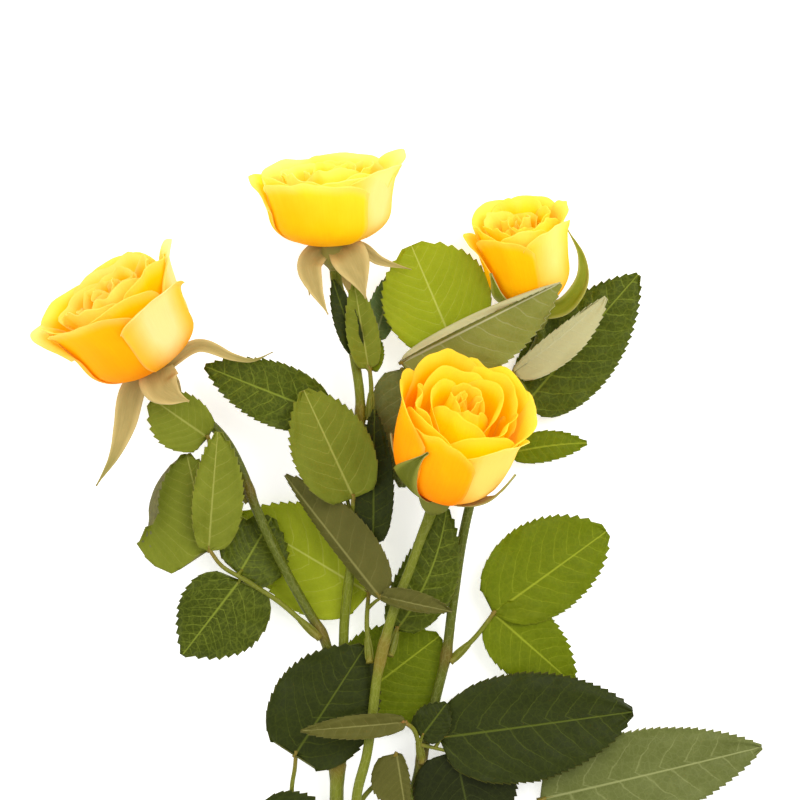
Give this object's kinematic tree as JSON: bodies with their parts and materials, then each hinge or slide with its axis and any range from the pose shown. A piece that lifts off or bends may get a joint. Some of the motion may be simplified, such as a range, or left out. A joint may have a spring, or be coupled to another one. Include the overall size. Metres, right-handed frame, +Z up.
{
  "type": "cut spray rose",
  "caption": "Cut spray rose lying down: a slant-cut stem branching into shoots with yellow blooms, some open and some half open, and toothed compound leaves.",
  "frame": {"origin": "On the surface that the rose lies on, under the middle of its bounding box.", "axes": "+Y runs along the stem from the cut end to the blooms, +X is to the right seen from above with the blooms away from the viewer, +Z is up from the surface."},
  "size_m": [0.2292, 0.3904, 0.0633],
  "materials": {
    "stem": "smooth, faintly ribbed, satin green",
    "green_calyx": "matt green with paler edges",
    "faded_calyx": "matt straw-beige, drying, green near the hip",
    "golden_petal": "velvety golden orange, paler rim",
    "lemon_petal": "velvety pale lemon",
    "yellow_petal": "velvety warm yellow, deeper towards the base",
    "leaf_dark": "satin dark green with pale veins",
    "leaf_mid": "satin olive green with pale veins",
    "leaf_light": "satin light green with pale veins"
  },
  "bodies": {
    "root": {"main_stem": "stem", "front_rose_stem": "stem", "front_rose_calyx": "green_calyx", "front_rose_outer_petal_1": "golden_petal", "front_rose_outer_petal_2": "golden_petal", "front_rose_outer_petal_3": "golden_petal", "front_rose_outer_petal_4": "golden_petal", "front_rose_inner_petal_1": "golden_petal", "front_rose_inner_petal_2": "golden_petal", "front_rose_inner_petal_3": "golden_petal", "front_rose_inner_petal_4": "golden_petal", "front_rose_heart": "golden_petal", "top_rose_stem": "stem", "top_rose_calyx": "faded_calyx", "top_rose_outer_petal_1": "lemon_petal", "top_rose_outer_petal_2": "lemon_petal", "top_rose_outer_petal_3": "lemon_petal", "top_rose_outer_petal_4": "lemon_petal", "top_rose_inner_petal_1": "lemon_petal", "top_rose_inner_petal_2": "lemon_petal", "top_rose_inner_petal_3": "lemon_petal", "top_rose_inner_petal_4": "lemon_petal", "top_rose_heart": "lemon_petal", "left_rose_stem": "stem", "left_rose_calyx": "faded_calyx", "left_rose_outer_petal_1": "yellow_petal", "left_rose_outer_petal_2": "yellow_petal", "left_rose_outer_petal_3": "yellow_petal", "left_rose_outer_petal_4": "yellow_petal", "left_rose_inner_petal_1": "yellow_petal", "left_rose_inner_petal_2": "yellow_petal", "left_rose_inner_petal_3": "yellow_petal", "left_rose_inner_petal_4": "yellow_petal", "left_rose_heart": "yellow_petal", "right_rose_stem": "stem", "right_rose_calyx": "green_calyx", "right_rose_outer_petal_1": "yellow_petal", "right_rose_outer_petal_2": "yellow_petal", "right_rose_outer_petal_3": "yellow_petal", "right_rose_outer_petal_4": "yellow_petal", "right_rose_inner_petal_1": "yellow_petal", "right_rose_inner_petal_2": "yellow_petal", "right_rose_inner_petal_3": "yellow_petal", "right_rose_inner_petal_4": "yellow_petal", "right_rose_heart": "yellow_petal", "leaf_low_left": "leaf_mid", "leaf_high_left": "leaf_mid", "leaf_centre": "leaf_mid", "leaf_fork_left": "leaf_light", "leaf_fork_right": "leaf_dark", "leaf_behind_fork": "leaf_light", "leaf_fork_low": "leaf_dark", "leaf_low_right": "leaf_dark", "leaf_bottom_right": "leaf_light", "leaf_bottom_middle": "leaf_mid", "leaf_bottom_left": "leaf_dark", "leaf_mid_right": "leaf_light", "leaf_high_right": "leaf_dark", "leaf_high_middle": "leaf_light", "leaf_top": "leaf_mid"}
  },
  "joints": []
}
